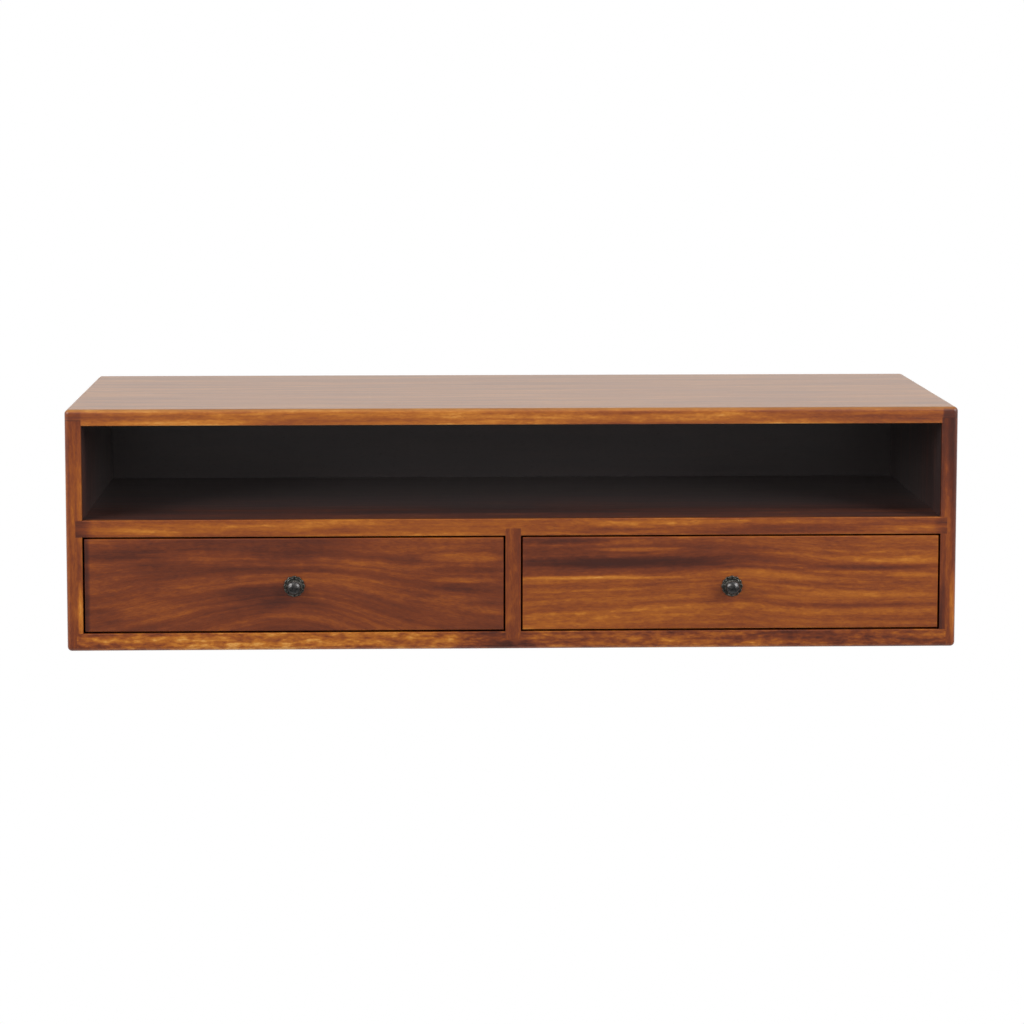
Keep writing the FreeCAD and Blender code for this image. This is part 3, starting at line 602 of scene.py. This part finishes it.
def mesh_piece(name, body, points, faces, material):
    """A smooth piece from points in metres, riding on a body."""
    mesh = bpy.data.meshes.new(name)
    mesh.from_pydata(points, [], faces)
    mesh.materials.append(material)
    shape = bmesh.new()
    shape.from_mesh(mesh)
    bmesh.ops.recalc_face_normals(shape, faces=shape.faces)
    for face in shape.faces:
        face.smooth = True
    shape.to_mesh(mesh)
    shape.free()
    piece = bpy.data.objects.new(name, mesh)
    bpy.context.scene.collection.objects.link(piece)
    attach(piece, body)
    return piece


def turned_shell(centre, rings, radius_at, height_at):
    """Points and faces of a closed skin about a knob's axis, which runs to the front.

    rings is the number of rings from the middle of the front, over the edge, to the middle of
    the back. radius_at and height_at give each point's place from its ring and its angle.
    """
    points, faces = [], []
    for ring in range(rings):
        for turn in range(TURNS):
            angle = 2 * math.pi * turn / TURNS
            radius, height = radius_at(ring, angle), height_at(ring, angle)
            x, z = radius * math.sin(angle), radius * math.cos(angle)
            points.append(centre + Vector((x, -height, z)))
    for ring in range(rings - 1):
        for turn in range(TURNS):
            following = (turn + 1) % TURNS
            near, far = ring * TURNS, (ring + 1) * TURNS
            faces.append((near + turn, near + following, far + following, far + turn))
    faces.append(tuple(range(TURNS)))
    faces.append(tuple(range((rings - 1) * TURNS, rings * TURNS)))
    return points, faces


def smoothed(section):
    """A section with more points, on a smooth curve through the ones it has."""
    ends = [section[0]] + section + [section[-1]]
    result = []
    for before, start, stop, after in zip(ends, ends[1:], ends[2:], ends[3:]):
        for step in range(SECTION_STEPS):
            t = step / SECTION_STEPS
            point = []
            for a, b, c, d in zip(before, start, stop, after):
                bend = (2 * a - 5 * b + 4 * c - d) * t * t + (3 * b - a - 3 * c + d) * t ** 3
                point.append(b + ((c - a) * t + bend) / 2)
            result.append(tuple(point))
    return result + [section[-1]]


def rosette(drawer, centre, material):
    """A cast rose plate with a petalled rim round a fluted dish."""

    def notch(angle):
        """0 in the middle of a petal, 1 between two."""
        return 1 - abs(math.cos(PETALS * angle / 2)) ** PETAL_POWER

    def radius_at(ring, angle):
        radius = ROSETTE_SECTION[ring][0]
        if radius > RIM[0]:
            radius -= PETAL_INSET * notch(angle) * (radius - RIM[0]) / (RIM[1] - RIM[0])
        return radius * MM

    def height_at(ring, angle):
        radius, height = ROSETTE_SECTION[ring]
        if DISH[0] <= radius <= DISH[1] and height > 0:
            height += FLUTE_HEIGHT * math.cos(FLUTES * angle)
        if radius > RIM[0] and height > SINKING_HEIGHT:
            height -= PETAL_SINK * notch(angle)
        return height * MM

    points, faces = turned_shell(centre, len(ROSETTE_SECTION), radius_at, height_at)
    name = f"{drawer}_rosette_cast"
    piece = mesh_piece(name, f"{drawer}_drawer", points, faces, material)
    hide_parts(f"{drawer}_knob_rosette")


def knob(drawer, centre, seed, material):
    """A domed knob, a little uneven from its casting."""

    section = smoothed(KNOB_SECTION)

    def unevenness(ring, angle):
        radius, height = section[ring]
        place = Vector((radius * math.sin(angle), height, radius * math.cos(angle)))
        return noise.noise(place * LUMPS + Vector((seed, 0, 0)))

    def radius_at(ring, angle):
        return section[ring][0] * (1 + LUMP_SWELL * unevenness(ring, angle)) * MM

    def height_at(ring, angle):
        return (section[ring][1] - LUMP_SINK * abs(unevenness(ring, angle))) * MM

    points, faces = turned_shell(centre, len(section), radius_at, height_at)
    piece = mesh_piece(f"{drawer}_knob_cast", f"{drawer}_drawer", points, faces, material)
    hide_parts(f"{drawer}_knob")


# ------------------------------------------------------------------ dressing

# tone patches, each as its place along the grain and across it, its half sizes and its change
# of tone, and on some how much of its squared reach is a core with the whole change
TOP_PATCHES = [
    (-0.46, 0.05, 0.12, 0.012, -0.12),
    (-0.40, 0.038, 0.11, 0.006, 0.2),
    (-0.56, 0.045, 0.032, 0.06, -0.16, 0.75),
    (0.56, 0.045, 0.03, 0.06, -0.33, 0.8),
    (0.42, 0.050, 0.2, 0.016, -0.14),
    (-0.16, 0.045, 0.2, 0.02, 0.12),
]
BOTTOM_PATCHES = [
    (-0.02, -0.24, 0.06, 0.03, -0.3),
    (0.42, -0.235, 0.2, 0.03, -0.1),
    (-0.45, -0.230, 0.16, 0.006, 0.15),
    (-0.38, -0.235, 0.22, 0.03, 0.08),
]
SHELF_PATCHES = [
    (-0.54, -0.09, 0.026, 0.03, -0.3),
    (0.54, -0.09, 0.02, 0.03, -0.2),
    (-0.15, -0.09, 0.2, 0.03, 0.15),
    (-0.40, -0.09, 0.2, 0.03, 0.06),
]
# the last patch of each side is the dark joint under the top board
LEFT_SIDE = [
    (-0.04, -0.531, 0.12, 0.006, 0.15),
    (-0.20, -0.533, 0.05, 0.005, 0.35),
    (0.042, -0.54, 0.0009, 0.05, -0.5),
]
RIGHT_SIDE = [
    (0.0, 0.535, 0.1, 0.02, -0.2),
    (-0.19, 0.546, 0.06, 0.005, 0.35),
    (-0.20, 0.533, 0.05, 0.006, -0.1),
    (0.042, 0.54, 0.0009, 0.05, -0.5),
]
# the last patch of this face is the shade beside the gap at its left end
LEFT_FACE = [
    (-0.475, -0.125, 0.06, 0.014, -0.07),
    (-0.34, -0.122, 0.24, 0.036, -0.13),
    (-0.150, -0.136, 0.04, 0.010, -0.05),
    (-0.19, -0.125, 0.08, 0.025, 0.09),
    (-0.06, -0.130, 0.07, 0.008, 0.22),
    (-0.08, -0.125, 0.08, 0.03, 0.07),
    (-0.06, -0.1455, 0.07, 0.006, -0.2),
    (-0.06, -0.158, 0.06, 0.005, 0.14),
    (-0.05, -0.168, 0.07, 0.008, -0.1),
    (-0.07, -0.182, 0.06, 0.006, 0.12),
    (-0.33, -0.19, 0.08, 0.03, -0.04),
    (-0.285, -0.200, 0.03, 0.008, 0.1),
    (-0.18, -0.195, 0.07, 0.022, 0.02),
    (-0.505, -0.200, 0.03, 0.012, -0.1),
    # the next three patches darken the wood left of and below the knob: partly its figure, partly
    # a painted shadow of the knob
    (-0.31, -0.174, 0.06, 0.016, -0.15),
    (-0.27, -0.192, 0.06, 0.02, -0.1),
    (-0.282, -0.169, 0.022, 0.02, -0.08),
    (-0.46, -0.196, 0.09, 0.02, 0.1),
    (-0.529, -0.16, 0.009, 0.2, -0.35),
]
RIGHT_FACE = [
    # this patch darkens the wood round the knob, a painted shadow of the knob
    (0.262, -0.171, 0.02, 0.018, -0.08),
    (0.14, -0.137, 0.17, 0.009, -0.08, 0.4),
    (0.12, -0.124, 0.28, 0.034, -0.22),
    (0.10, -0.138, 0.18, 0.011, -0.14),
    (0.06, -0.110, 0.08, 0.006, -0.2),
    (0.28, -0.140, 0.12, 0.006, -0.12),
    (0.10, -0.156, 0.14, 0.003, 0.25),
    (0.16, -0.121, 0.08, 0.004, 0.28),
    (0.11, -0.138, 0.06, 0.008, -0.1),
    (0.41, -0.1455, 0.12, 0.005, -0.18),
    (0.49, -0.1370, 0.07, 0.0045, 0.18),
    (0.50, -0.1545, 0.05, 0.0045, 0.16),
    (0.42, -0.1640, 0.15, 0.005, -0.12),
    (0.43, -0.1800, 0.13, 0.007, 0.14),
    (0.43, -0.1910, 0.12, 0.004, -0.1),
]

# where the grain of each drawer's face bows: the middle, its lengths to the left and the right,
# its height, its foot and its reach
LEFT_ARCH = (-0.262, (0.18, 0.11), 0.14, -0.2195, 0.1)
RIGHT_ARCH = (0.262, (0.16, 0.12), 0.016, -0.2195, 0.3)


def dress(node, material):
    for material_slot in NODES[node].material_slots:
        material_slot.material = material


def dress_case():
    """The case's six boards and its back."""
    top = wood("top_board", "x", 1, 0.60, patches=TOP_PATCHES, inside=0.3, sheened_top=True)
    dress("top_panel", top)
    bottom = wood("bottom_board", "x", 2, 0.54, spread=1.1, curl=1.1, wander=16 * MM,
                  patches=BOTTOM_PATCHES, inside=0.3)
    dress("bottom_panel", bottom)
    dress("middle_shelf", wood("shelf_board", "x", 3, 0.53, patches=SHELF_PATCHES, inside=0.95))
    left = wood("left_side_board", "z", 4, 0.42, patches=LEFT_SIDE, inside=0.5)
    dress("left_side_panel", left)
    right = wood("right_side_board", "z", 5, 0.33, patches=RIGHT_SIDE, inside=0.4)
    dress("right_side_panel", right)
    dress("centre_divider", wood("divider_board", "z", 6, 0.37, spread=0.6, inside=0.3))
    dress("back_panel", wood("back_board", "x", 7, 0.2, spread=0.5, inside=0.4, stain=PLYWOOD))


def dress_rails():
    dress("hanging_rail", wood("hanging_rail_board", "x", 8, 0.35))
    dress("lower_rail", wood("lower_rail_board", "x", 9, 0.35))


def dress_runners():
    for drawer in SIDES:
        for side in SIDES:
            name = f"{drawer}_{side}_runner_strip"
            runner = wood(name, "y", 10, 0.7, spread=0.6, stain=OILED)
            dress(f"{drawer}_drawer_{side}_runner", runner)


def dress_fixings(plated):
    """The steel of the case and of both drawers."""
    for node in ("hanger_screws", "runner_screws", "back_panel_pins"):
        dress(node, plated)
    for side in SIDES:
        for part in ("hanger_plate", "drawer_bottom_pins", "knob_screw", "knob_washer"):
            dress(f"{side}_{part}", plated)


def dress_drawer(drawer, seed, **face):
    """A drawer's front, with the look that face gives, and its box."""
    dress(f"{drawer}_drawer_front", wood(f"{drawer}_drawer_face", "x", seed, **face))
    for side in SIDES:
        name = f"{drawer}_{side}_box_side"
        board = wood(name, "y", seed + SIDES[side], 0.6, spread=0.8, stain=OILED)
        dress(f"{drawer}_drawer_{side}_side", board)
    back = wood(f"{drawer}_box_back", "x", seed + 2, 0.55, spread=0.8, stain=OILED)
    dress(f"{drawer}_drawer_back", back)
    bottom = wood(f"{drawer}_box_bottom", "x", seed + 3, 0.6, spread=0.7, stain=PLYWOOD)
    dress(f"{drawer}_drawer_bottom", bottom)


def add_knob(drawer, seed, plate_metal, grip_metal):
    """A drawer's rosette and knob, about the middle of where the CAD's rosette meets its front."""
    low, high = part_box(f"{drawer}_knob_rosette")
    centre = Vector(((low.x + high.x) / 2, high.y, (low.z + high.z) / 2))
    rosette(drawer, centre, plate_metal)
    knob(drawer, centre, seed, grip_metal)


# ------------------------------------------------------------------ studio

FLOOR_LEVEL = -1.6
FLOOR_REACH = 14
FLOOR_ROUGHNESS = 0.9
# how far from under the console the floor begins to turn to plain white and where it has, and
# the share of white in it before that
WHITENING = (0.8, 2.2)
LEAST_WHITE = 0.6
# what a metre of floor towards the wall counts for as a direction towards it, and how much the
# floor dims in reflections at the front
FLOOR_DIRECTION = 0.4
FLOOR_DIMMING = 0.85

# the camera, as its place, its turns in degrees and its picture in pixels
CAMERA_PLACE = (-0.1306, -3.9009, 0.4637)
CAMERA_DIP, CAMERA_TURN = 5.492, 1.678
FOCAL_PIXELS = 2870.5
PICTURE_PIXELS = 1024
AXIS_PIXEL = (490.5, 350.2)
SENSOR_WIDTH = 36

# the two soft lamps, whose places mirror each other
LAMP_OUT, LAMP_FRONT, LAMP_HEIGHT = 2.6, -2.1, 1.45
LAMP_SIZE = (2.1, 2.1)
LAMP_POWER = 83
LIT_PLACE = (0, -0.35, -0.1)

# the directions, from the front at -1 to the wall at 1, between which the dimming in
# reflections falls off, and what is left of it at the wall
DIMMED_FRONT = (-0.8, 0.2)
DIMMING_AT_WALL = 0.14
# the directions, from the ground at -1 to the sky at 1, between which the world's dimming at
# the front changes, and what it is below and above them
DIMMED_HEIGHT = (0.45, 0.75)
DIMMING = (0.62, 0.15)
# the directions between which the even light changes, and what it is from the front and the wall
EVEN_DIRECTIONS = (-0.8, 0.0)
EVEN_LIGHT = (0.18, 0.28)


def add_camera():
    data = bpy.data.cameras.new("camera")
    data.sensor_width = SENSOR_WIDTH
    data.lens = FOCAL_PIXELS / PICTURE_PIXELS * SENSOR_WIDTH
    data.shift_x = (PICTURE_PIXELS / 2 - AXIS_PIXEL[0]) / PICTURE_PIXELS
    data.shift_y = (AXIS_PIXEL[1] - PICTURE_PIXELS / 2) / PICTURE_PIXELS
    camera = bpy.data.objects.new("camera", data)
    camera.location = CAMERA_PLACE
    camera.rotation_euler = (math.radians(90 - CAMERA_DIP), 0, math.radians(-CAMERA_TURN))
    bpy.context.scene.collection.objects.link(camera)
    bpy.context.scene.camera = camera


def add_softbox(name, place):
    data = bpy.data.lights.new(name, "AREA")
    data.shape = "RECTANGLE"
    data.size, data.size_y = LAMP_SIZE
    data.energy = LAMP_POWER
    lamp = bpy.data.objects.new(name, data)
    lamp.location = place
    aim = Vector(LIT_PLACE) - Vector(place)
    lamp.rotation_euler = aim.to_track_quat("-Z", "Y").to_euler()
    lamp.visible_camera = False
    bpy.context.scene.collection.objects.link(lamp)


def seen_directly(graph, path):
    """1 for what the camera sees, in a mirror or through glass as well."""
    seen = graph.larger(path["Is Camera Ray"], path["Is Glossy Ray"])
    return graph.larger(seen, path["Is Transmission Ray"])


def surround(graph, towards_wall, dimming, path):
    """White, but dimmer in a reflection the further to the front it lies."""
    dimmed = graph.span(towards_wall, *DIMMED_FRONT, dimming, DIMMING_AT_WALL)
    return graph.minus(1.0, graph.times(dimmed, path["Is Glossy Ray"]))


def floor_material():
    """Pale paint, which turns to plain white away from the console's shadow."""
    material, graph, shader = new_material("studio_floor")
    shader.inputs["Base Color"].default_value = FLOOR_PAINT
    shader.inputs["Roughness"].default_value = FLOOR_ROUGHNESS
    place = graph.split(graph.add("TexCoord").outputs["Object"])
    distance = graph.math("SQRT", graph.plus(graph.square(place["X"]), graph.square(place["Y"])))
    share = graph.span(distance, *WHITENING, LEAST_WHITE, 1.0, smooth=True)
    path = graph.add("LightPath").outputs
    towards_wall = graph.times(place["Y"], FLOOR_DIRECTION)
    strength = surround(graph, towards_wall, FLOOR_DIMMING, path)
    white = graph.add("Emission", {"Color": WHITE, "Strength": strength})
    blend = graph.add("MixShader", {0: graph.times(share, seen_directly(graph, path))})
    graph.feed(blend.inputs[1], shader.outputs[0])
    graph.feed(blend.inputs[2], white.outputs[0])
    graph.show(blend.outputs[0])
    material.cycles.emission_sampling = "NONE"
    return material


def add_floor():
    mesh = bpy.data.meshes.new("floor")
    turns = [(-1, -1), (1, -1), (1, 1), (-1, 1)]
    corners = [(x * FLOOR_REACH, y * FLOOR_REACH, FLOOR_LEVEL) for x, y in turns]
    mesh.from_pydata(corners, [], [(0, 1, 2, 3)])
    mesh.materials.append(floor_material())
    floor = bpy.data.objects.new("floor", mesh)
    bpy.context.scene.collection.objects.link(floor)


def light_world():
    """Dim even light, with a white surround for the camera and, but for the front, for gloss."""
    world = bpy.data.worlds.new("studio")
    bpy.context.scene.world = world
    world.use_nodes = True
    graph = Graph(world.node_tree, "OutputWorld")
    path = graph.add("LightPath").outputs
    direction = graph.split(graph.add("TexCoord").outputs["Generated"])
    towards_wall = direction["Y"]
    dimming = graph.span(direction["Z"], *DIMMED_HEIGHT, *DIMMING)
    ambient = graph.span(towards_wall, *EVEN_DIRECTIONS, *EVEN_LIGHT)
    white = surround(graph, towards_wall, dimming, path)
    seen = graph.times(white, seen_directly(graph, path))
    strength = graph.larger(ambient, seen)
    background = graph.add("Background", {"Color": WHITE, "Strength": strength})
    graph.show(background.outputs[0])


# ------------------------------------------------------------------ the whole

LEFT_SEED, RIGHT_SEED = 20, 30

dress_case()
dress_rails()
dress_runners()
dress_fixings(zinc())
dress_drawer("left", LEFT_SEED, tone=0.385, spread=0.6, shimmer=0.12, band=19 * MM,
             wander=11 * MM, arch=LEFT_ARCH, patches=LEFT_FACE)
dress_drawer("right", RIGHT_SEED, tone=0.55, spread=0.62, band=10 * MM, band_length=500 * MM,
             wander=9 * MM, arch=RIGHT_ARCH, patches=RIGHT_FACE)
cast_metals = rosette_metal(), knob_metal()
add_knob("left", LEFT_SEED, *cast_metals)
add_knob("right", RIGHT_SEED, *cast_metals)

add_camera()
add_floor()
light_world()
for side_name, side_sign in SIDES.items():
    add_softbox(side_name + "_softbox", (side_sign * LAMP_OUT, LAMP_FRONT, LAMP_HEIGHT))
bpy.context.scene.view_settings.view_transform = "Standard"
